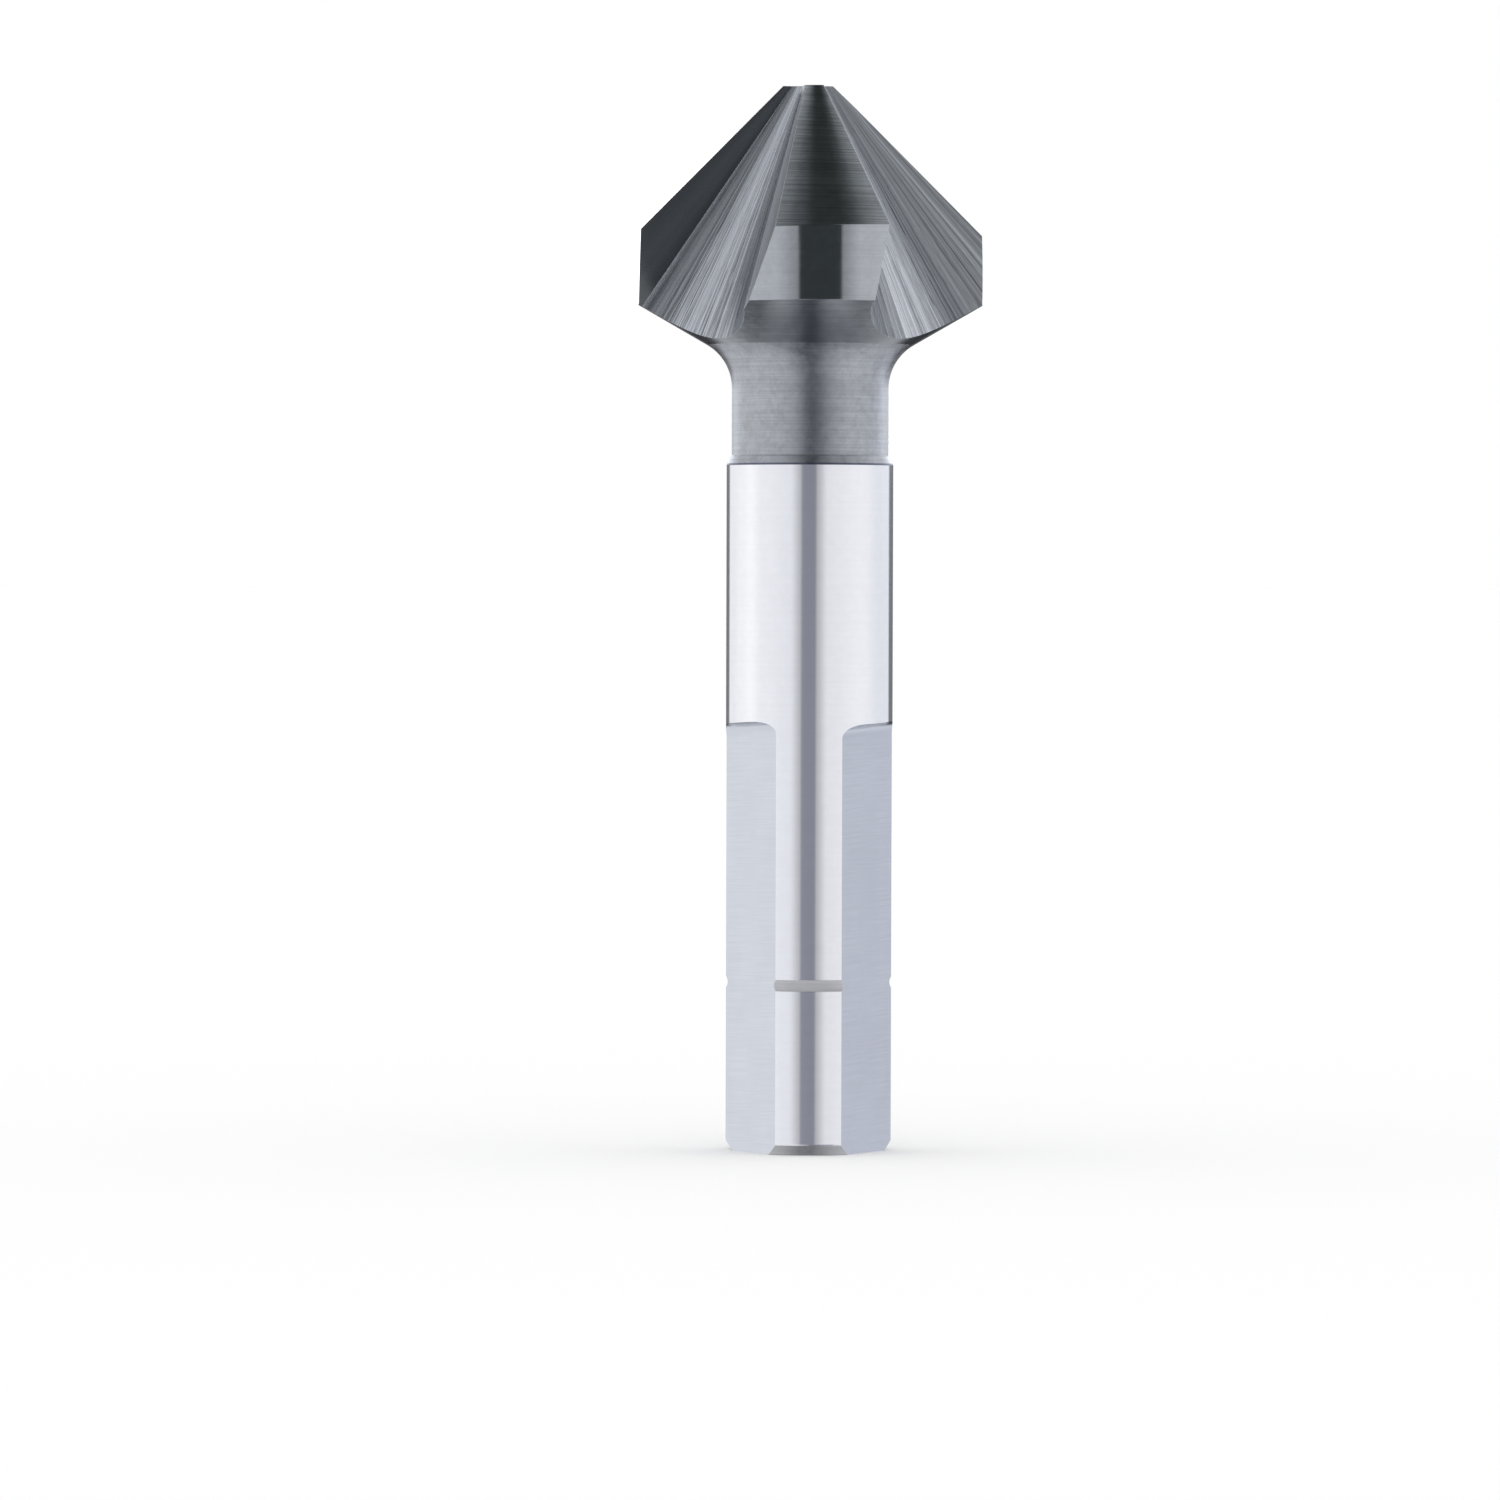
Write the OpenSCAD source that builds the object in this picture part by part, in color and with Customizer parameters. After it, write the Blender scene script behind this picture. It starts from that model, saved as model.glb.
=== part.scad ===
// Three-flute countersink bit, turned, milled and ground from one bar of tool steel.
// Millimetres. The origin is the centre of the shank's end face, and +Z runs to the tip.
// The bit cuts when it turns clockwise, seen from the shank.

/* [Shank] */
// Diameter of the shank
shank_d = 10; // [8:0.1:13]
// Length of the shank, from its end face to the shoulder at the neck
shank_len = 41.7; // [34:0.1:60]
// Width of the chamfer at the end face, across the axis
end_chamfer_w = 0.45; // [0.2:0.05:1]
// Height of the chamfer at the end face, along the axis
end_chamfer_h = 0.6; // [0.2:0.05:1.5]
// Width of the chamfer on the shoulder, across the axis
shoulder_w = 0.2; // [0.05:0.05:0.25]
// Height of the chamfer on the shoulder, along the axis
shoulder_h = 0.5; // [0.2:0.05:1.5]

/* [Shank flats] */
// Depth of each of the three flats, below the round shank
flat_depth = 1; // [0.4:0.1:1.6]
// Length of each flat, from the end face to the start of its run-out
flat_len = 24.95; // [16:0.05:32]
// Radius of the run-out that the grinding wheel leaves at the flat's upper end
flat_runout_r = 0.8; // [0.5:0.1:4]
// Tilt of the grinding wheel, which slants the run-out across the flat
flat_tilt = 2.5; // [0:0.5:5]

/* [Ring groove] */
// Height of the ring groove's middle, above the end face
groove_z = 10.12; // [4:0.02:22]
// Width of the ring groove
groove_w = 0.68; // [0.3:0.02:1.5]
// Depth of the ring groove
groove_depth = 0.12; // [0.05:0.01:0.3]

/* [Neck] */
// Depth to which the neck is turned, below the shank
neck_relief = 0.3; // [0.3:0.05:1.2]
// Length of the neck, from the shoulder to the foot of the head's back taper
neck_len = 5.8; // [4:0.1:15]
// Radius of the fillet between the neck and the back taper
neck_fillet_r = 3; // [1:0.1:4.5]

/* [Head] */
// Diameter of the head, over its rim
head_d = 20.65; // [18:0.05:31]
// Height of the cylindrical rim
rim_h = 4.5; // [1:0.1:10]
// Angle of the back taper, from the axis
back_angle = 60; // [45:1:70]
// Included angle of the cutting cone
point_angle = 90; // [75:1:110]
// Diameter of the flat tip
tip_d = 3.4; // [1.6:0.1:5]

/* [Cutting edges] */
// Turn of the front cutting edge, from the front of the bit
edge_turn = 26.8; // [0:0.2:120]
// Pitch from the left cutting edge to the front one, which is less than the other two
pitch_short = 106; // [100:1:120]
// Rake, square to the cutting edge
rake_angle = 16; // [5:1:22]
// Shift of the cone that grinds the back of each land, which gives the edge its clearance
relief_shift = 0.34; // [0.1:0.02:0.6]
// Turn of that shift, ahead of the cutting edge
relief_turn = 30; // [10:1:40]

/* [Flutes] */
// Turn of the gullet's axis, ahead of the cutting edge
gullet_lead = 25; // [22:0.5:28]
// Slant of the gullet's axis, inside the side of the cutting cone
gullet_inset = 3.4; // [0:0.2:5]
// Half of the gullet's own cone angle
gullet_half = 20; // [17:0.5:22]
// Turn about the gullet's axis at which its flat heel side begins
heel_turn = 27.5; // [10:0.5:35]

/* [Hidden] */
$fn = 120;

shank_r = shank_d / 2;
neck_r = shank_r - neck_relief;
head_r = head_d / 2;
tip_r = tip_d / 2;
half_point = point_angle / 2;

// Heights up the axis, in the order of turning
neck_top = shank_len + neck_len;
rim_bottom = neck_top + (head_r - neck_r) / tan(back_angle);
rim_top = rim_bottom + rim_h;
tip_z = rim_top + (head_r - tip_r) / tan(half_point);
apex_z = tip_z + tip_r / tan(half_point);

// Stock left on the cone by the lathe, which the relief grinding takes off
grind_stock = 0.6;
// Distance that a cut runs past the surface it goes through
clear = 1;
// Length of a flute's cutter, past the whole head
reach = 2 * (apex_z - neck_top);
// How far the flat heel side bites into the round gullet, in degrees
heel_bite = 1.3;
// Gap between a flute's middle and the ground sectors on both sides of it, in degrees
sector_gap = 5;
// Bite of the neck's fillet into the neck and the taper, which gives its arc clean ends
fillet_bite = 0.002;

// The three cutting edges, as turns from the front one, and the pitch behind each
pitch_long = (360 - pitch_short) / 2;
edges = [
    [0, pitch_short],
    [pitch_long, pitch_long],
    [2 * pitch_long, pitch_long]
];

// Half of the lathe's profile: radius across, height up
module turned_profile() {
    fillet_run = neck_fillet_r * tan(back_angle / 2);
    fillet_centre = [neck_r + neck_fillet_r, neck_top - fillet_run];
    taper_start = [neck_r + fillet_run * sin(back_angle), neck_top + fillet_run * cos(back_angle)];
    difference() {
        polygon([
            [0, 0],
            [shank_r - end_chamfer_w, 0],
            [shank_r, end_chamfer_h],
            [shank_r, shank_len - shoulder_h],
            [shank_r - shoulder_w, shank_len],
            [neck_r, shank_len],
            [neck_r, neck_top - fillet_run],
            fillet_centre,
            taper_start,
            [head_r, rim_bottom],
            [head_r, rim_top + grind_stock / tan(half_point)],
            [tip_r + grind_stock, tip_z],
            [0, tip_z]
        ]);
        translate(fillet_centre) circle(r = neck_fillet_r + fillet_bite);
    }
}

// Shallow round-bottomed groove round the lands of the shank
module ring_groove() {
    groove_r = (pow(groove_w / 2, 2) + pow(groove_depth, 2)) / (2 * groove_depth);
    translate([0, 0, groove_z])
        rotate_extrude()
            translate([shank_r - groove_depth + groove_r, 0])
                circle(r = groove_r);
}

// One ground flat on the +X side of the shank, with the wheel's round run-out above it,
// which rises a little from left to right
module shank_flat() {
    flat_x = shank_r - flat_depth;
    translate([0, 0, flat_len])
        rotate([90 + flat_tilt, 0, 0])
            linear_extrude(height = 2 * shank_d, center = true)
                union() {
                    translate([flat_x, -flat_len - clear])
                        square([shank_d, flat_len + clear]);
                    translate([flat_x + flat_runout_r, 0])
                        circle(r = flat_runout_r);
                    translate([flat_x + flat_runout_r, -clear])
                        square([shank_d, flat_runout_r + clear]);
                }
}

// What the grinding wheel takes off one land of the cone. The wheel follows a cone that is
// shifted ahead of the cutting edge, so the land falls away behind the edge.
module land_relief(pitch_behind) {
    from_turn = gullet_lead + sector_gap - pitch_behind;
    to_turn = gullet_lead - sector_gap;
    sector_low = rim_top - 2 * clear;
    ground_apex = apex_z - relief_shift * cos(relief_turn) / tan(half_point);
    cone_h = ground_apex - sector_low + clear;
    difference() {
        translate([0, 0, sector_low])
            linear_extrude(height = tip_z - sector_low + clear / 2)
                polygon([
                    [0, 0],
                    for (turn = [from_turn, (from_turn + to_turn) / 2, to_turn])
                        2 * head_d * [cos(turn), sin(turn)]
                ]);
        translate([relief_shift * cos(relief_turn), relief_shift * sin(relief_turn), sector_low - clear])
            cylinder(h = cone_h, r1 = cone_h * tan(half_point), r2 = 0);
    }
}

// One flute, seen from the cone's own apex at the origin, with its cutting edge over +X.
// Its round gullet and flat heel side both fan out from that apex, and its rake face
// holds the cutting edge and is turned about it.
module flute() {
    intersection() {
        rotate([0, 180 - half_point, 0])
            rotate([0, 0, -rake_angle])
                translate([-reach, 0, -reach])
                    cube([2 * reach, reach, 2 * reach]);
        rotate([0, 0, gullet_lead])
            rotate([0, 180 - half_point + gullet_inset, 0])
                union() {
                    cylinder(h = reach, r1 = 0, r2 = reach * tan(gullet_half));
                    rotate([0, 0, heel_turn])
                        rotate([0, gullet_half - heel_bite, 0])
                            translate([-reach, 0, 0])
                                cube(reach);
                }
    }
}

// The whole bit: a turned blank with three flats, three ground lands and three flutes
module countersink_bit() {
    color([0.78, 0.79, 0.82])
        difference() {
            rotate_extrude() turned_profile();
            ring_groove();
            for (side = [0:2])
                rotate([0, 0, 90 + side * 120]) shank_flat();
            for (edge = edges)
                rotate([0, 0, edge_turn - 90 + edge[0]]) {
                    land_relief(edge[1]);
                    translate([0, 0, apex_z]) flute();
                }
        }
}

countersink_bit();
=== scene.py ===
import math

import bpy
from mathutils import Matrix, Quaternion, Vector


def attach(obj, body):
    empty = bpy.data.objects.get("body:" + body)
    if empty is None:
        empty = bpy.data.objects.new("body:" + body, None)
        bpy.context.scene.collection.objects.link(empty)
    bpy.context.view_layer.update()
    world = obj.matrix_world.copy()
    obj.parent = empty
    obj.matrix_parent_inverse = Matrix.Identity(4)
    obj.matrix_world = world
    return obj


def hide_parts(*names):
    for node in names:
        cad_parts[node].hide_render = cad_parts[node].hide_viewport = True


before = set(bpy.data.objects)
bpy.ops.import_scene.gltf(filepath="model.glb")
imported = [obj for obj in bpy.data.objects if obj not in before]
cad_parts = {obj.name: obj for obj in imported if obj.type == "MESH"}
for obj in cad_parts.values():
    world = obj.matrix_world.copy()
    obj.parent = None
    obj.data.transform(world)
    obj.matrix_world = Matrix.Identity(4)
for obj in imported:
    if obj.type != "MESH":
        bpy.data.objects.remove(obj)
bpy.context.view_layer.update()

# The turned blank: one bar of high-speed steel, turned from the shank's end face up to the tip.
# The shank is polished, the neck and the back taper keep the lathe's fine rings, and the rim is
# ground round. Its half profile is a wire, which the node tree below spins about the axis.
shank_r, shank_top = 5.0, 41.7
end_chamfer_w, end_chamfer_h = 0.45, 0.6
shoulder_w, shoulder_h = 0.2, 0.5
groove_z, groove_w, groove_depth = 10.12, 0.68, 0.12
neck_r, neck_top, neck_fillet_r = 4.7, 47.5, 3.0
head_r, rim_h, tip_r = 10.325, 4.5, 1.7
back_angle, half_point = math.radians(60), math.radians(45)
# Steel that the lathe leaves on the cone for the grinding of the lands
grind_stock = 0.6
# How round the polishing leaves each corner
end_ease, chamfer_ease, shoulder_ease, neck_ease, rim_ease = 0.08, 0.15, 0.12, 0.04, 0.07
longest_stretch = 3.0

rim_bottom = neck_top + (head_r - neck_r) / math.tan(back_angle)
rim_top = rim_bottom + rim_h
tip_z = rim_top + (head_r - tip_r) / math.tan(half_point)
apex_z = tip_z + tip_r / math.tan(half_point)


def arc(centre, radius, start, end, steps):
    """Points of an arc from one angle to another, in degrees."""
    points = []
    for i in range(steps + 1):
        angle = math.radians(start + (end - start) * i / steps)
        points.append((centre[0] + radius * math.cos(angle), centre[1] + radius * math.sin(angle)))
    return points


def eased(before, corner, after, radius, steps=4):
    """The points of a corner of the profile that the polishing wheel has rounded."""
    before, corner, after = Vector(before), Vector(corner), Vector(after)
    back, ahead = (before - corner).normalized(), (after - corner).normalized()
    run = radius / math.tan(back.angle(ahead) / 2)
    start, end = corner + back * run, corner + ahead * run
    points = []
    for i in range(steps + 1):
        t = i / steps
        points.append(tuple(start * (1 - t) ** 2 + corner * 2 * t * (1 - t) + end * t ** 2))
    return points


def spaced(points, gap, margin=0.04):
    """The same line with extra points, so that no stretch of it is longer than the gap. Long
    stretches also get a point close to each end, which keeps their shading straight."""
    line = [points[0]]
    for p, q in zip(points, points[1:]):
        length = math.dist(p, q)
        parts = max(1, math.ceil(length / gap))
        stops = [i / parts for i in range(1, parts + 1)]
        if length > 8 * margin:
            stops = sorted([margin / length, 1 - margin / length, *stops])
        line += [(p[0] + (q[0] - p[0]) * t, p[1] + (q[1] - p[1]) * t) for t in stops]
    return line


end_low, end_high = (shank_r - end_chamfer_w, 0), (shank_r, end_chamfer_h)
groove_r = ((groove_w / 2) ** 2 + groove_depth ** 2) / (2 * groove_depth)
groove_half = math.degrees(math.asin(groove_w / 2 / groove_r))
groove_centre = (shank_r - groove_depth + groove_r, groove_z)
groove_mouth = (shank_r, groove_z)
shoulder_low, shoulder_high = (shank_r, shank_top - shoulder_h), (shank_r - shoulder_w, shank_top)
neck_low, neck_high = (neck_r, shank_top), (neck_r, neck_top)
fillet_run = neck_fillet_r * math.tan(back_angle / 2)
fillet_centre = (neck_r + neck_fillet_r, neck_top - fillet_run)
rim_low, rim_high = (head_r, rim_bottom), (head_r, rim_top)
profile = spaced([
    (0, 0),
    *eased((0, 0), end_low, end_high, end_ease),
    *eased(end_low, end_high, groove_mouth, chamfer_ease),
    *arc(groove_centre, groove_r, 180 + groove_half, 180 - groove_half, steps=8),
    *eased(groove_mouth, shoulder_low, shoulder_high, shoulder_ease),
    *eased(shoulder_low, shoulder_high, neck_low, neck_ease),
    neck_low,
    *arc(fillet_centre, neck_fillet_r, 180, 120, steps=20),
    *eased(neck_high, rim_low, rim_high, rim_ease),
    (head_r, rim_top + grind_stock / math.tan(half_point)),
    (tip_r + grind_stock, tip_z),
    (0, tip_z),
], longest_stretch)

wire = bpy.data.meshes.new("half_profile")
wire.from_pydata([(r, 0, z) for r, z in profile],
                 [(i, i + 1) for i in range(len(profile) - 1)], [])
bit = bpy.data.objects.new("countersink_bit_ground", wire)
bpy.context.scene.collection.objects.link(bit)

making = bpy.data.node_groups.new("turning_and_grinding", "GeometryNodeTree")
making.interface.new_socket("Profile", in_out="INPUT", socket_type="NodeSocketGeometry")
making.interface.new_socket("Bit", in_out="OUTPUT", socket_type="NodeSocketGeometry")
given = making.nodes.new("NodeGroupInput")
sizes = {}
# Points closer than this are one point
weld_mm = 0.0005


def step(tree, kind, inputs=None, **settings):
    """Adds one node. Each input is a plain value, another node's output, or a list of outputs."""
    node = tree.nodes.new(kind)
    for name, value in settings.items():
        setattr(node, name, value)
    for key, value in (inputs or {}).items():
        for v in value if isinstance(value, list) else [value]:
            if isinstance(v, bpy.types.NodeSocket):
                tree.links.new(v, node.inputs[key])
            else:
                node.inputs[key].default_value = v
    return node


def size(name, value, kind="NodeSocketFloat"):
    """A named input of the making tree, with the value that this bit has."""
    socket = making.interface.new_socket(name, in_out="INPUT", socket_type=kind)
    sizes[socket.identifier] = value
    return given.outputs[name]


def calc(operation, *values):
    """One sum in the making tree."""
    return step(making, "ShaderNodeMath", dict(enumerate(values)), operation=operation).outputs[0]


def more(value, limit):
    """Whether a value in the making tree is more than a limit."""
    return step(making, "FunctionNodeCompare", {"A": value, "B": limit},
                data_type="FLOAT", operation="GREATER_THAN").outputs[0]


def moved(geometry, **ways):
    """The geometry, with its Rotation, Translation or Scale."""
    return step(making, "GeometryNodeTransform", {"Geometry": geometry, **ways}).outputs[0]


# A sheet with one row for each point of the profile is wrapped round the axis, and its seam welded
facets = size("Facets around", 360, "NodeSocketInt")
rows = step(making, "GeometryNodeAttributeDomainSize",
            {"Geometry": given.outputs["Profile"]}).outputs["Point Count"]
sheet = step(making, "GeometryNodeMeshGrid",
             {"Vertices X": calc("ADD", facets, 1.0), "Vertices Y": rows})
place = step(making, "GeometryNodeInputIndex").outputs[0]
row = calc("FLOORED_MODULO", place, rows)
column = calc("FLOOR", calc("DIVIDE", calc("ADD", place, 0.5), rows))
position = step(making, "GeometryNodeInputPosition").outputs[0]
point = step(making, "GeometryNodeSampleIndex", {
    "Geometry": given.outputs["Profile"], "Value": position, "Index": row},
    data_type="FLOAT_VECTOR")
angle = calc("MULTIPLY", calc("DIVIDE", column, facets), math.tau)
spun = step(making, "ShaderNodeVectorRotate", {"Vector": point.outputs[0], "Angle": angle},
            rotation_type="Z_AXIS")
wrapped = step(making, "GeometryNodeSetPosition",
               {"Geometry": sheet.outputs["Mesh"], "Position": spun.outputs[0]})
blank = step(making, "GeometryNodeMergeByDistance",
             {"Geometry": wrapped.outputs[0], "Distance": weld_mm}).outputs[0]

# Every face is marked with its finish, the turned ones by their height on the blank, and a thin
# band at the shoulder's lower corner with painted shade
finishes = ("turned_end", "polished_shank", "ring_groove", "painted_shoulder_shade", "turned_neck",
            "turned_taper", "ground_rim", "ground_tip", "ground_flats", "ground_lands",
            "ground_rake", "ground_gullet", "ground_heel")


def finished(geometry, name, selection=True):
    """The geometry, with its faces marked as having one of the bit's finishes."""
    return step(making, "GeometryNodeStoreNamedAttribute", {
        "Geometry": geometry, "Selection": selection, "Name": "finish",
        "Value": finishes.index(name)}, data_type="INT", domain="FACE").outputs[0]


# Half the height of the dark line along the shoulder's lower corner. The line is painted shade: a
# dark band of colour where the corner shows a shadow line
shoulder_shade_half = 0.05
height = step(making, "ShaderNodeSeparateXYZ", {0: position}).outputs["Z"]
blank = finished(blank, "turned_end")
for name, bottom in (("polished_shank", end_chamfer_h),
                     ("ring_groove", groove_z - groove_w / 2),
                     ("polished_shank", groove_z + groove_w / 2),
                     ("painted_shoulder_shade", shoulder_low[1] - shoulder_shade_half),
                     ("turned_neck", shoulder_low[1] + shoulder_shade_half),
                     ("turned_taper", neck_top + fillet_run * math.cos(back_angle)),
                     ("ground_rim", rim_bottom),
                     ("ground_tip", tip_z - weld_mm)):
    blank = finished(blank, name, more(height, bottom))

# The three driving flats on the lower shank, ground 120 degrees apart for a three-jaw chuck.
# The wheel stands a little askew, so its run-out at the top of each flat rises to the right.
flat_depth, flat_len, flat_runout_r, flat_tilt = 1.0, 24.95, 0.8, math.radians(2.5)
flat_x = shank_r - flat_depth
# How far the wheel and its sweep reach past the steel
wheel_outside, wheel_low, half_sweep = 14, -30, 9

runout = arc((flat_x + flat_runout_r, 0), flat_runout_r, 90, 180, steps=10)
wheel = [(wheel_outside, wheel_low), (wheel_outside, flat_runout_r), *runout, (flat_x, wheel_low)]
outline = bpy.data.meshes.new("flat_wheel")
outline.from_pydata([(x, y, 0) for x, y in wheel],
                    [(i, (i + 1) % len(wheel)) for i in range(len(wheel))], [])
flat_wheel = bpy.data.objects.new("flat_wheel", outline)
bpy.context.scene.collection.objects.link(flat_wheel)


def prism(curve, low, high):
    """A solid with the curve as its outline, from one height to another."""
    path = step(making, "GeometryNodeCurvePrimitiveLine",
                {"Start": (0, 0, low), "End": (0, 0, high)}).outputs[0]
    return step(making, "GeometryNodeCurveToMesh", {
        "Curve": path, "Profile Curve": curve, "Fill Caps": True}).outputs[0]


wheel_mesh = step(making, "GeometryNodeObjectInfo", {"Object": flat_wheel}).outputs["Geometry"]
wheel_curve = step(making, "GeometryNodeMeshToCurve", {"Mesh": wheel_mesh}).outputs[0]
swept = finished(prism(wheel_curve, -half_sweep, half_sweep), "ground_flats")
tilt = calc("ADD", size("Tilt of the flats", flat_tilt), math.pi / 2)
top = size("Length of the flats", flat_len)
standing = moved(swept, Rotation=step(making, "ShaderNodeCombineXYZ", {"X": tilt}).outputs[0],
                 Translation=step(making, "ShaderNodeCombineXYZ", {"Z": top}).outputs[0])
cutters = [moved(standing, Rotation=(0, 0, math.radians(90 + 120 * side))) for side in range(3)]

# The three lands of the cone, and the three flutes between them. A cup wheel shifted ahead of
# each cutting edge grinds the lands, so that they fall away behind it. The flutes are ground
# from the cone's own apex: a round gullet, a flat heel side, and the rake face at the edge.
edge_turn, pitch_short = 26.8, 106.0
pitch_long = (360 - pitch_short) / 2
rake_angle, relief_shift, relief_turn = 16.0, 0.34, math.radians(30.0)
gullet_lead, gullet_inset, gullet_half = 25.0, 3.4, 20.0
heel_turn, heel_bite = 27.5, 1.3
# How far the cutters reach past the steel, and how many facets the round ones have
reach = 2 * (apex_z - neck_top)
sector_gap, sector_r, sector_points = 5.0, 2.4 * head_r, 9
sector_low, sector_high, cup_low = rim_top - 2, tip_z + 0.5, rim_top - 3
gullet_facets, cup_facets = 256, 512


def turned_about(geometry, axis, degrees, move=(0, 0, 0)):
    """The geometry, turned about one axis of the making tree and then moved."""
    turn = step(making, "ShaderNodeCombineXYZ", {axis: degrees}).outputs[0]
    angle = step(making, "ShaderNodeVectorMath", {0: turn, "Scale": math.radians(1)},
                 operation="SCALE").outputs[0]
    return moved(geometry, Rotation=angle, Translation=move)


def block(low, high, name):
    """A box between two corners, all in one finish."""
    low, high = Vector(low), Vector(high)
    cube = step(making, "GeometryNodeMeshCube", {"Size": high - low}).outputs["Mesh"]
    return finished(moved(cube, Translation=(high + low) / 2), name)


def merged(operation, first, *others):
    """Solids joined, cut or kept where they meet."""
    solid = step(making, "GeometryNodeMeshBoolean", operation=operation, solver="MANIFOLD")
    if operation == "DIFFERENCE":
        making.links.new(first, solid.inputs["Mesh 1"])
    else:
        others = (first, *others)
    for other in others:
        making.links.new(other, solid.inputs["Mesh 2"])
    return solid.outputs["Mesh"]


rake = size("Rake", rake_angle)
lead = size("Lead of the gullet", gullet_lead)
slant = size("Slant of the gullet", 180 - math.degrees(half_point) + gullet_inset)
opening = size("Half angle of the gullet", gullet_half)
heel = size("Turn of the heel side", heel_turn)
front_edge = size("Turn of the front edge", edge_turn - 90)
long_pitch = size("Long pitch", pitch_long)

behind_rake = block((-reach, 0, -reach), (reach, reach, reach), "ground_rake")
behind_rake = turned_about(behind_rake, "Z", calc("MULTIPLY", rake, -1.0))
behind_rake = turned_about(behind_rake, "Y", 180 - math.degrees(half_point))
gullet_r = calc("MULTIPLY", calc("TANGENT", calc("RADIANS", opening)), reach)
gullet = step(making, "GeometryNodeMeshCone", {
    "Vertices": gullet_facets, "Side Segments": 1, "Radius Bottom": 0.0, "Radius Top": gullet_r,
    "Depth": reach})
gullet = finished(gullet.outputs["Mesh"], "ground_gullet")
heel_side = block((-reach, 0, 0), (0, reach, reach), "ground_heel")
heel_side = turned_about(heel_side, "Y", calc("SUBTRACT", opening, heel_bite))
heel_side = turned_about(heel_side, "Z", heel)
wheel_path = turned_about(merged("UNION", gullet, heel_side), "Y", slant)
flute = merged("INTERSECT", behind_rake, turned_about(wheel_path, "Z", lead))

shift_x = relief_shift * math.cos(relief_turn)
shift_y = relief_shift * math.sin(relief_turn)
cup_depth = apex_z - shift_x / math.tan(half_point) - cup_low
cup = step(making, "GeometryNodeMeshCone", {
    "Vertices": cup_facets, "Radius Top": 0.0, "Radius Bottom": cup_depth * math.tan(half_point),
    "Depth": cup_depth})
cup = moved(cup.outputs["Mesh"], Translation=(shift_x, shift_y, cup_low))

for index, pitch_behind in enumerate((pitch_short, pitch_long, pitch_long)):
    edge_way = calc("ADD", front_edge, calc("MULTIPLY", long_pitch, float(index)))
    cutters.append(turned_about(flute, "Z", edge_way, (0, 0, apex_z)))
    sector_start = gullet_lead + sector_gap - pitch_behind
    sector = step(making, "GeometryNodeCurveArc", {
        "Resolution": sector_points, "Radius": sector_r, "Connect Center": True,
        "Start Angle": math.radians(sector_start),
        "Sweep Angle": math.radians(gullet_lead - sector_gap - sector_start)}, mode="RADIUS")
    wedge = prism(sector.outputs[0], sector_low, sector_high)
    land_cut = finished(merged("DIFFERENCE", wedge, cup), "ground_lands")
    cutters.append(turned_about(land_cut, "Z", edge_way))

# The ground bit: everything that the wheels touch is taken off the blank, and the tree's
# millimetres become the metres of the frame. The result is one closed mesh.
crease_angle, metres = math.radians(12), (0.001, 0.001, 0.001)
ground = merged("DIFFERENCE", blank, *cutters)
welded = step(making, "GeometryNodeMergeByDistance", {"Geometry": ground, "Distance": weld_mm})
smooth = step(making, "GeometryNodeSetShadeSmooth", {"Geometry": welded.outputs[0]})
bend = step(making, "GeometryNodeInputMeshEdgeAngle").outputs["Unsigned Angle"]

# An edge between two finishes is sharp too. There the mean of the squared finish numbers of the
# two faces is more than the square of their mean.
mark = step(making, "GeometryNodeInputNamedAttribute", {"Name": "finish"},
            data_type="INT").outputs[0]


def across_edge(value):
    """The mean of a face value on both sides of an edge."""
    return step(making, "GeometryNodeFieldOnDomain", {"Value": value},
                domain="FACE", data_type="FLOAT").outputs[0]


mean = across_edge(mark)
same = calc("ADD", calc("MULTIPLY", mean, mean), 0.01)
differs = more(across_edge(calc("MULTIPLY", mark, mark)), same)
sharp = step(making, "FunctionNodeBooleanMath", {0: more(bend, crease_angle), 1: differs},
             operation="OR").outputs[0]
creased = step(making, "GeometryNodeSetShadeSmooth", {
    "Geometry": smooth.outputs[0], "Selection": sharp, "Shade Smooth": False}, domain="EDGE")
scaled = moved(creased.outputs[0], Scale=metres)
dressed = step(making, "GeometryNodeRealizeInstances", {"Geometry": scaled}).outputs[0]
steel = {name: bpy.data.materials.new(name) for name in finishes}
for number, name in enumerate(finishes):
    worn = step(making, "FunctionNodeCompare", {2: mark, 3: number},
                data_type="INT", operation="EQUAL").outputs[0]
    dressed = step(making, "GeometryNodeSetMaterial", {
        "Geometry": dressed, "Selection": worn, "Material": steel[name]}).outputs[0]
step(making, "NodeGroupOutput", {"Bit": dressed})

tool = bit.modifiers.new("turning_and_grinding", "NODES")
tool.node_group = making
for identifier, value in sizes.items():
    tool[identifier] = value
made = bit.evaluated_get(bpy.context.evaluated_depsgraph_get())
mesh = bpy.data.meshes.new_from_object(made)
bit.modifiers.remove(tool)
bit.data = mesh
mesh.name = "countersink_bit_ground"
# The first material slot, which the blank brings along, is empty
mesh.materials.pop(index=0)
bpy.data.objects.remove(flat_wheel)


# The finishes of the steel. The lathe and the cylindrical grinder leave rings round the axis,
# the flute wheels leave streaks that fan out from the cone's apex, and the flats keep fine
# scratches straight across. The marks are node groups, and each surface has its own amounts.
def shader_group(name, inputs, outputs):
    """A new shader group with named inputs and outputs. Returns it and its inputs."""
    group = bpy.data.node_groups.new(name, "ShaderNodeTree")
    for label, value in inputs.items():
        socket = group.interface.new_socket(label, in_out="INPUT", socket_type="NodeSocketFloat")
        socket.default_value = value
    for label, kind in outputs.items():
        group.interface.new_socket(label, in_out="OUTPUT", socket_type="NodeSocket" + kind)
    return group, group.nodes.new("NodeGroupInput").outputs


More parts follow.
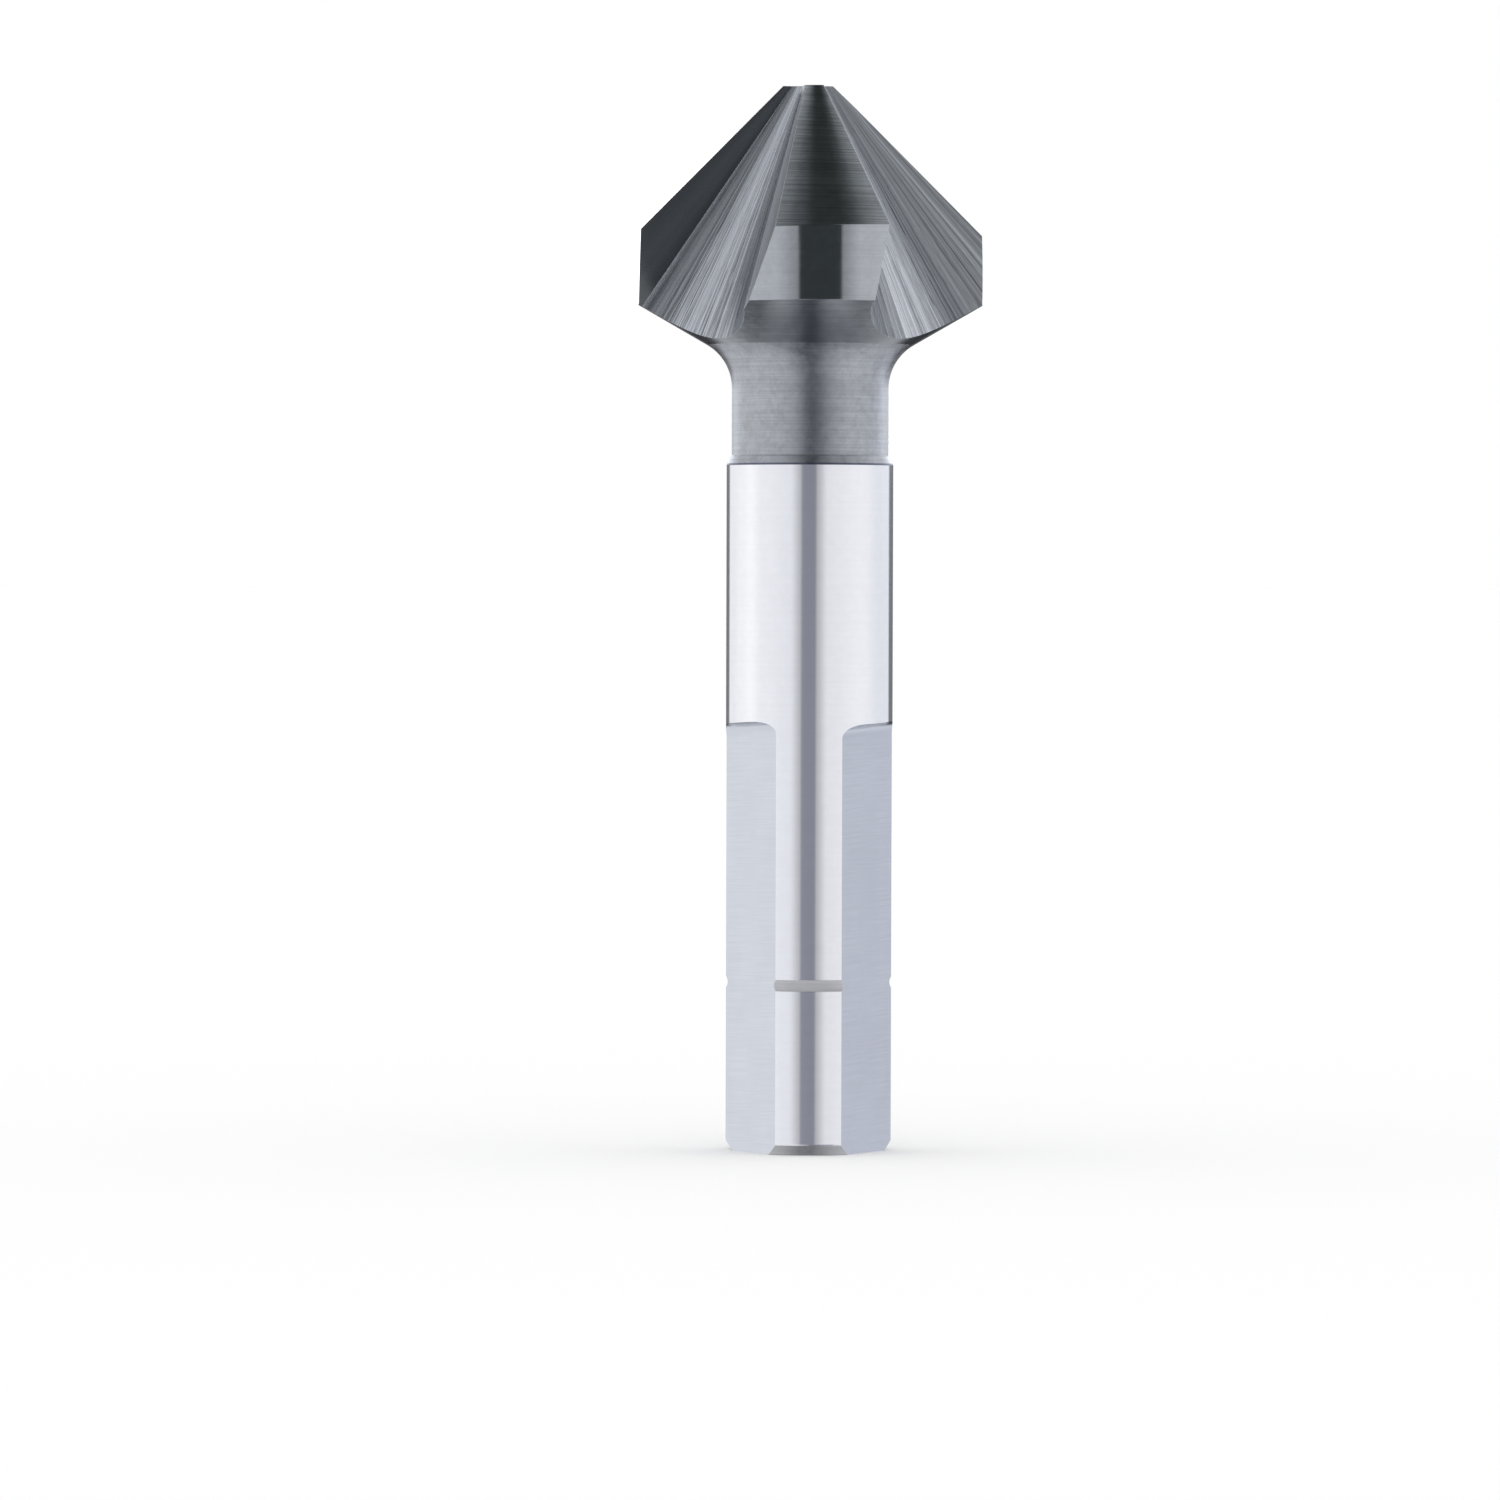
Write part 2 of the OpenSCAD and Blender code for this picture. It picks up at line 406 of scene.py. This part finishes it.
def maths(tree, operation, *values):
    """One sum in a shader tree."""
    return step(tree, "ShaderNodeMath", dict(enumerate(values)), operation=operation).outputs[0]


def vectors(tree, operation, *values, **named):
    """One vector sum in a shader tree."""
    node = step(tree, "ShaderNodeVectorMath", {**dict(enumerate(values)), **named},
                operation=operation)
    return node.outputs["Value" if operation == "DOT_PRODUCT" else "Vector"]


def fitted(tree, value, low, high, to_low, to_high):
    """A value taken from one range to another, and held there."""
    return step(tree, "ShaderNodeMapRange", {
        "Value": value, "From Min": low, "From Max": high,
        "To Min": to_low, "To Max": to_high}).outputs["Result"]


def place_mm(tree):
    """The place on the bit, in millimetres."""
    return vectors(tree, "SCALE", step(tree, "ShaderNodeTexCoord").outputs["Object"], Scale=1000.0)


def grain(tree, place, scale, detail, roughness):
    """Noise at a place."""
    return step(tree, "ShaderNodeTexNoise", {
        "Vector": place, "Scale": scale, "Detail": detail, "Roughness": roughness}).outputs["Fac"]


# Rings round the axis, some deeper than others, that fade in and out on the way round
rings, ring_in = shader_group("tool_rings", {"Lines per mm": 8.0, "Waviness": 0.08},
                              {"Lines": "Float", "Patches": "Float"})
# A step away from the axis counts as this share of a step along it, so flat ends have rings too
radius_share = 0.37
spot = place_mm(rings)
x, y, z = step(rings, "ShaderNodeSeparateXYZ", {0: spot}).outputs
square = maths(rings, "ADD", maths(rings, "MULTIPLY", x, x), maths(rings, "MULTIPLY", y, y))
along_profile = maths(rings, "MULTIPLY_ADD", maths(rings, "SQRT", square), radius_share, z)
drawn_out = step(rings, "ShaderNodeCombineXYZ", {
    0: maths(rings, "MULTIPLY", x, ring_in["Waviness"]),
    1: maths(rings, "MULTIPLY", y, ring_in["Waviness"]),
    2: maths(rings, "MULTIPLY", along_profile, ring_in["Lines per mm"])}).outputs[0]
step(rings, "NodeGroupOutput", {
    "Lines": grain(rings, drawn_out, scale=1.0, detail=4.0, roughness=0.6),
    "Patches": grain(rings, spot, scale=1.5, detail=5.0, roughness=0.75)})

# Streaks along the rays from the cone's apex, where the flute wheels passed, with a few deeper
# scores among them
fan, fan_in = shader_group("wheel_fan", {"Streaks": 60.0, "Apex height": apex_z},
                           {"Fine": "Float", "Broad": "Float"})
# How far the streaks stray, and how close the scores stand beside them
wander, score_share = 0.005, 0.8
spot = place_mm(fan)
apex = step(fan, "ShaderNodeCombineXYZ", {2: fan_in["Apex height"]}).outputs[0]
ray = vectors(fan, "NORMALIZE", vectors(fan, "SUBTRACT", spot, apex))
drift = step(fan, "ShaderNodeTexNoise", {"Vector": spot, "Scale": 0.35, "Detail": 2.0})
drift = vectors(fan, "SUBTRACT", drift.outputs["Color"], (0.5, 0.5, 0.5))
ray = vectors(fan, "MULTIPLY_ADD", drift, (wander, wander, wander), ray)
score_scale = maths(fan, "MULTIPLY", fan_in["Streaks"], score_share)
scores = grain(fan, ray, score_scale, detail=3.0, roughness=0.7)
streaks = grain(fan, ray, fan_in["Streaks"], detail=6.0, roughness=0.8)
scored = fitted(fan, scores, low=0.35, high=0.40, to_low=0.6, to_high=1.0)
step(fan, "NodeGroupOutput", {
    "Fine": maths(fan, "MULTIPLY", streaks, scored),
    "Broad": grain(fan, ray, scale=13.0, detail=2.0, roughness=0.6)})

# Scratches straight across a flat, at the slant of its grinding wheel
cross, cross_in = shader_group("cross_scratches", {"Lines per mm": 8.0, "Slant": flat_tilt},
                               {"Lines": "Float", "Patches": "Float"})
waviness_across = 0.25
spot = place_mm(cross)
face = step(cross, "ShaderNodeNewGeometry").outputs["True Normal"]
sideways = vectors(cross, "NORMALIZE", vectors(cross, "CROSS_PRODUCT", (0, 0, 1), face))
over = vectors(cross, "DOT_PRODUCT", spot, sideways)
x, y, z = step(cross, "ShaderNodeSeparateXYZ", {0: spot}).outputs
drop = maths(cross, "MULTIPLY", over, maths(cross, "TANGENT", cross_in["Slant"]))
level = maths(cross, "SUBTRACT", z, drop)
drawn_out = step(cross, "ShaderNodeCombineXYZ", {
    0: maths(cross, "MULTIPLY", over, waviness_across),
    2: maths(cross, "MULTIPLY", level, cross_in["Lines per mm"])}).outputs[0]
step(cross, "NodeGroupOutput", {
    "Lines": grain(cross, drawn_out, scale=1.0, detail=4.0, roughness=0.6),
    "Patches": grain(cross, spot, scale=0.25, detail=4.0, roughness=0.6)})

# Eased edges, which the wheels leave a few hundredths of a millimetre round. The mask grows
# from the face to the edge, as the eased normal turns away from the surface's own. The finishes
# use the mask to paint a highlight along their edges, or painted shade where they darken them.
edge, edge_in = shader_group("eased_edge", {"Radius": 0.00004},
                             {"Normal": "Vector", "Edge": "Float"})
on_face, on_edge = 0.985, 0.90
soft = step(edge, "ShaderNodeBevel", {"Radius": edge_in["Radius"]}, samples=6).outputs[0]
alike = vectors(edge, "DOT_PRODUCT", soft, step(edge, "ShaderNodeNewGeometry").outputs["Normal"])
step(edge, "NodeGroupOutput", {
    "Normal": soft, "Edge": fitted(edge, alike, on_face, on_edge, 0.0, 1.0)})


def use(tree, group, **values):
    """A shader group placed in a material with its own values."""
    node = tree.nodes.new("ShaderNodeGroup")
    node.node_tree = group
    for label, value in values.items():
        node.inputs[label.replace("_", " ")].default_value = value
    return node.outputs


def spread(tree, noise, amount):
    """Noise, most of which lies between 0.36 and 0.64, as a factor round one."""
    return fitted(tree, noise, 0.36, 0.64, 1 - amount, 1 + amount)


def upright(tree):
    """Light spread along the axis, across the rings."""
    return step(tree, "ShaderNodeCombineXYZ", {2: 1.0}).outputs[0]


def across_fan(tree):
    """Light spread across the streaks that fan out from the apex."""
    ray = vectors(tree, "SUBTRACT", place_mm(tree), (0, 0, apex_z))
    face = step(tree, "ShaderNodeNewGeometry").outputs["True Normal"]
    return vectors(tree, "NORMALIZE", vectors(tree, "CROSS_PRODUCT", ray, face))


def ringed(lines_per_mm, waviness):
    """Marks that run round the axis."""
    return rings, {"Lines_per_mm": lines_per_mm, "Waviness": waviness}


def fanned(streaks):
    """Marks that fan out from the apex."""
    return fan, {"Streaks": streaks}


def steel_finish(name, colour, roughness, stretch, marks, fine, broad, depth, tangent=upright,
                 painted_edge_light=1.25, rise=0.0, lean=0.0, metal=1.0, ease=0.04):
    """Steel with marks of one kind. Fine and broad marks change its tone, and the fine ones its
    height. Stretch spreads its highlights along the tangent, and rise and lean turn its normals
    up and along the tangent. Along the eased edges its colour is multiplied by a factor: a painted
    highlight above one, and painted shade below one."""
    material = steel[name]
    material.use_nodes = True
    tree = material.node_tree
    shader = tree.nodes["Principled BSDF"]
    shader.inputs["Metallic"].default_value = metal
    shader.inputs["Anisotropic"].default_value = stretch
    group, values = marks
    thin, wide = use(tree, group, **values)
    rim = use(tree, edge, Radius=ease / 1000)
    tone = maths(tree, "MULTIPLY", spread(tree, thin, fine), spread(tree, wide, broad))
    # Painted highlight along the eased edges, or painted shade where the factor is below one
    at_edge = maths(tree, "MULTIPLY_ADD", rim["Edge"], painted_edge_light - 1, 1.0)
    tone = maths(tree, "MULTIPLY", tone, at_edge)
    tree.links.new(vectors(tree, "SCALE", colour, Scale=tone), shader.inputs["Base Color"])
    dull = maths(tree, "MULTIPLY", spread(tree, wide, min(broad, 0.15)), roughness)
    tree.links.new(dull, shader.inputs["Roughness"])
    normal, way = rim["Normal"], tangent(tree)
    if lean:
        normal = vectors(tree, "MULTIPLY_ADD", way, (lean, lean, lean), normal)
        normal = vectors(tree, "NORMALIZE", normal)
    if rise:
        normal = vectors(tree, "NORMALIZE", vectors(tree, "ADD", normal, (0, 0, rise)))
    bump = step(tree, "ShaderNodeBump", {"Height": thin, "Distance": depth, "Normal": normal})
    tree.links.new(bump.outputs[0], shader.inputs["Normal"])
    tree.links.new(way, shader.inputs["Tangent"])


# Each finish's edge factor paints a highlight along its eased edges where it is above one, and
# painted shade where it is below one, as on the rake and the gullet
steel_finish("polished_shank", (0.80, 0.805, 0.83), roughness=0.11, stretch=0.2,
             marks=ringed(6.0, 0.05), fine=0.008, broad=0.015, depth=2e-7)
steel_finish("ring_groove", (0.60, 0.60, 0.62), roughness=0.65, stretch=0.0,
             marks=ringed(12.0, 0.10), fine=0.06, broad=0.04, depth=2e-6, metal=0.7)
steel_finish("turned_end", (0.50, 0.50, 0.51), roughness=0.45, stretch=0.3,
             marks=ringed(10.0, 0.10), fine=0.08, broad=0.06, depth=2e-6)
# The shoulder's line is painted shade: a dark blue-grey band along its lower corner
steel_finish("painted_shoulder_shade", (0.13, 0.145, 0.19), roughness=0.40, stretch=0.0,
             marks=ringed(14.0, 0.10), fine=0.08, broad=0.10, depth=1e-6)
steel_finish("turned_neck", (0.405, 0.42, 0.447), roughness=0.42, stretch=0.85,
             marks=ringed(13.0, 0.12), fine=0.10, broad=0.17, depth=1.5e-6)
steel_finish("turned_taper", (0.33, 0.35, 0.365), roughness=0.22, stretch=0.5,
             marks=ringed(13.0, 0.12), fine=0.12, broad=0.10, depth=1.5e-6)
steel_finish("ground_rim", (0.40, 0.42, 0.44), roughness=0.08, stretch=0.0,
             marks=ringed(14.0, 0.06), fine=0.03, broad=0.05, depth=3e-7, rise=0.065)
steel_finish("ground_tip", (0.50, 0.52, 0.54), roughness=0.35, stretch=0.3,
             marks=ringed(14.0, 0.10), fine=0.05, broad=0.04, depth=1e-6)
steel_finish("ground_lands", (0.46, 0.49, 0.51), roughness=0.16, stretch=0.5,
             marks=ringed(16.0, 0.10), fine=0.20, broad=0.06, depth=1e-6)
steel_finish("ground_flats", (0.60, 0.625, 0.68), roughness=0.20, stretch=0.5,
             marks=(cross, {"Lines_per_mm": 14.0}), fine=0.03, broad=0.02, depth=6e-7, rise=-0.16)
steel_finish("ground_rake", (0.118, 0.126, 0.129), roughness=0.18, stretch=0.4,
             marks=fanned(70.0), fine=0.05, broad=0.08, depth=1e-6, tangent=across_fan,
             painted_edge_light=0.6)
steel_finish("ground_gullet", (0.43, 0.45, 0.48), roughness=0.26, stretch=0.7,
             marks=fanned(130.0), fine=0.65, broad=0.15, depth=2e-6, tangent=across_fan,
             painted_edge_light=0.75, lean=-0.12, ease=0.012)
steel_finish("ground_heel", (0.37, 0.39, 0.41), roughness=0.38, stretch=0.8,
             marks=fanned(130.0), fine=0.55, broad=0.15, depth=2e-6, tangent=across_fan,
             painted_edge_light=1.1, lean=-0.12)

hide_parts("countersink_bit")
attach(bit, "root")

# The studio: a matt white floor in a tent of white cloth. The camera stands half a metre in
# front of the bit, a little above its middle, and leans by about a sixth of a degree.
camera_y, camera_z, camera_lean = -0.513, 0.0344, math.radians(-0.155)
aim = Vector((-0.003554, 0, 0.02406))
frame_width, sensor_width = 0.09009, 36
half_floor = 30

camera = bpy.data.objects.new("camera", bpy.data.cameras.new("camera"))
bpy.context.scene.collection.objects.link(camera)
bpy.context.scene.camera = camera
camera.location = (0, camera_y, camera_z)
sight = aim - camera.location
leaned = Quaternion(sight.normalized(), camera_lean)
camera.rotation_euler = (leaned @ sight.to_track_quat("-Z", "Y")).to_euler()
camera.data.sensor_width = sensor_width
camera.data.lens = sensor_width * sight.length / frame_width
camera.data.clip_start = 0.01

floor = bpy.data.objects.new("floor", bpy.data.meshes.new("floor"))
corners = [(-half_floor, -half_floor, 0), (half_floor, -half_floor, 0),
           (half_floor, half_floor, 0), (-half_floor, half_floor, 0)]
floor.data.from_pydata(corners, [], [(0, 1, 2, 3)])
bpy.context.scene.collection.objects.link(floor)
floor.visible_glossy = False
paper = bpy.data.materials.new("white_paper")
paper.use_nodes = True
sheen = paper.node_tree.nodes["Principled BSDF"].inputs
sheen["Base Color"].default_value = (1, 1, 1, 1)
sheen["Roughness"].default_value = 1.0
sheen["Specular IOR Level"].default_value = 0.0
floor.data.materials.append(paper)

# The tent is built for the metal: bright side walls, a dark slit in front, where the camera
# looks in, a slit of shade across the top, and a dim floor behind. All else sees plain white.
tent = bpy.data.worlds.new("tent")
tent.use_nodes = True
bpy.context.scene.world = tent
sky = tent.node_tree
sky.nodes.clear()


def light(operation, *values):
    """One sum in the tent's tree."""
    return maths(sky, operation, *values)


def between(value, low, high):
    """How far the value is from low to high, with soft ends. Low may be the larger one."""
    return step(sky, "ShaderNodeMapRange", {"Value": value, "From Min": low, "From Max": high},
                interpolation_type="SMOOTHSTEP").outputs["Result"]


def blended(amount, first, second):
    """One colour of light fading into another."""
    # Inputs 0, 6 and 7 of this node are its factor and its two colours
    return step(sky, "ShaderNodeMix", {0: amount, 6: first, 7: second}, data_type="RGBA").outputs[2]


def banded(place, *stops):
    """A soft row of tones along one direction of the tent."""
    ramp = step(sky, "ShaderNodeValToRGB", {"Fac": place})
    ramp.color_ramp.interpolation = "EASE"
    marks = ramp.color_ramp.elements
    marks[0].position, marks[1].position = stops[0][0], stops[-1][0]
    marks[0].color, marks[1].color = (*stops[0][1], 1), (*stops[-1][1], 1)
    for position, tone in stops[1:-1]:
        marks.new(position).color = (*tone, 1)
    return ramp.outputs["Color"]


way = step(sky, "ShaderNodeTexCoord").outputs["Generated"]
across, along, up = step(sky, "ShaderNodeSeparateXYZ", {0: way}).outputs

# The walls, from straight behind over the left, the front and the right to straight behind again
bearing = light("ARCTAN2", across, light("MULTIPLY", along, -1.0))
bearing = light("ADD", light("DIVIDE", bearing, math.tau), 0.5)
walls = banded(bearing,
               (0.00, (0.95, 0.96, 0.98)), (0.12, (0.97, 0.98, 1.00)), (0.20, (1.10, 1.10, 1.11)),
               (0.25, (1.17, 1.17, 1.17)), (0.31, (1.02, 1.03, 1.06)), (0.44, (0.93, 0.94, 0.98)),
               (0.56, (0.93, 0.94, 0.97)), (0.72, (1.04, 1.05, 1.08)), (0.82, (0.90, 0.92, 0.96)),
               (0.88, (0.88, 0.91, 0.97)), (1.00, (0.95, 0.96, 0.98)))

# The slit that the camera looks through. It is dim at its own height, dark and wider above it,
# and wide to the right just under it. Its sides fade out softly.
dim_core, dark_core = (0.285, 0.29, 0.345, 1), (0.062, 0.072, 0.074, 1)
slit_centre, slit_half = -0.022, 0.178
upper_shift, upper_wider = 0.145, 0.075
lower_shift, lower_wider = 0.36, 0.15
roof_shift, side_shade = 0.08, 0.42
upper = between(up, 0.04, 0.075)
lower = light("MULTIPLY", between(up, -0.10, -0.14), between(up, -0.5, -0.4))
centre = light("MULTIPLY_ADD", upper, upper_shift, slit_centre)
centre = light("MULTIPLY_ADD", lower, lower_shift, centre)
centre = light("SUBTRACT", centre, light("MULTIPLY", between(up, 0.22, 0.28), roof_shift))
half = light("MULTIPLY_ADD", lower, lower_wider,
             light("MULTIPLY_ADD", upper, upper_wider, slit_half))
upward = light("ADD", light("MULTIPLY", along, along), light("MULTIPLY", up, up))
slit_place = light("DIVIDE", across, light("SQRT", upward))
past_side = light("SUBTRACT", light("ABSOLUTE", light("SUBTRACT", slit_place, centre)), half)
in_front = between(along, 0.3, 0.1)
faded = light("MULTIPLY", between(past_side, 0.32, -0.02), in_front)
core = light("MULTIPLY", between(past_side, 0.025, -0.02), in_front)
darker = light("MULTIPLY_ADD", between(up, -0.2, -0.4), 0.5, upper)
seen = blended(light("MULTIPLY", faded, side_shade), walls, (0, 0, 0, 1))
seen = blended(core, seen, blended(darker, dim_core, dark_core))

# The dark opening straight behind the shank, with bright cloth over it, both a little wider on
# the right, and a grey panel low on the right
bright_cloth, grey_panel = (2.5, 2.55, 2.7, 1), (0.755, 0.765, 0.83, 1)
open_grey, open_dark = (0.20, 0.205, 0.22, 1), (0.05, 0.05, 0.055, 1)
on_right = between(across, -0.2, 0.2)
behind = between(light("MULTIPLY_ADD", on_right, 0.18, along), 0.35, 1.1)
seen = blended(light("MULTIPLY", behind, between(up, 0.025, 0.05)), seen, bright_cloth)
open_height = light("MULTIPLY", between(up, -0.55, -0.45), between(up, 0.04, 0.025))
open_back = between(light("MULTIPLY_ADD", on_right, 0.04, along), 0.81, 0.87)
opening_tone = blended(between(up, -0.12, -0.18), open_grey, open_dark)
seen = blended(light("MULTIPLY", open_back, open_height), seen, opening_tone)
low_right = light("MULTIPLY", between(across, 0.45, 0.75), between(up, -0.10, -0.15))
seen = blended(light("MULTIPLY", low_right, between(along, 0.15, 0.4)), seen, grey_panel)

# The roof, darkest over the slit, with a bright panel at the back on the right
bright_panel = (1.15, 1.17, 1.20, 1)
roof_place = light("SUBTRACT", slit_place, light("MULTIPLY", between(up, 0.3, 0.8), roof_shift))
roof = banded(light("MULTIPLY_ADD", roof_place, 0.25, 0.5),
              (0.090, (0.82, 0.83, 0.86)), (0.170, (0.92, 0.93, 0.97)),
              (0.270, (0.90, 0.91, 0.95)), (0.334, (0.72, 0.73, 0.76)),
              (0.392, (0.53, 0.54, 0.56)), (0.420, (0.33, 0.34, 0.355)),
              (0.432, (0.26, 0.27, 0.28)), (0.452, (0.12, 0.125, 0.13)),
              (0.478, (0.024, 0.030, 0.029)), (0.518, (0.024, 0.030, 0.029)),
              (0.538, (0.07, 0.078, 0.08)), (0.558, (0.26, 0.27, 0.275)),
              (0.578, (0.42, 0.43, 0.45)), (0.690, (0.45, 0.46, 0.48)),
              (0.720, (0.50, 0.51, 0.53)), (0.750, (0.55, 0.56, 0.59)),
              (0.800, (0.74, 0.75, 0.78)), (0.875, (0.94, 0.95, 0.98)))
seen = blended(between(up, 0.22, 0.35), seen, roof)
high_right = light("MULTIPLY", between(across, 0.40, 0.60), between(along, 0.20, 0.45))
seen = blended(light("MULTIPLY", high_right, between(up, 0.18, 0.30)), seen, bright_panel)

# The floor as metal sees it, behind the bit only, and darkest straight behind
floor_tones = banded(light("MULTIPLY_ADD", across, 0.5, 0.5),
                     (0.0, (0.95, 0.96, 0.99)), (0.30, (0.85, 0.86, 0.89)),
                     (0.385, (0.26, 0.27, 0.285)), (0.44, (0.175, 0.19, 0.20)),
                     (0.48, (0.18, 0.195, 0.205)), (0.495, (0.09, 0.10, 0.105)),
                     (0.518, (0.08, 0.09, 0.09)), (0.532, (0.11, 0.115, 0.12)),
                     (0.5555, (0.20, 0.21, 0.215)), (0.584, (0.40, 0.41, 0.43)),
                     (0.64, (0.48, 0.49, 0.51)), (0.72, (0.90, 0.91, 0.95)),
                     (1.0, (0.98, 0.99, 1.02)))
lifted = light("MULTIPLY_ADD", between(along, 0.0, 0.4), 0.3, up)
on_floor = light("MULTIPLY", between(lifted, -0.14, -0.5), between(along, 0.08, 0.26))
seen = blended(on_floor, seen, floor_tones)
is_glossy = step(sky, "ShaderNodeLightPath").outputs["Is Glossy Ray"]
seen = blended(is_glossy, (1, 1, 1, 1), seen)
glow = step(sky, "ShaderNodeBackground", {"Color": seen, "Strength": 1.0})
step(sky, "ShaderNodeOutputWorld", {"Surface": glow.outputs[0]})

bpy.context.scene.view_settings.view_transform = "Standard"
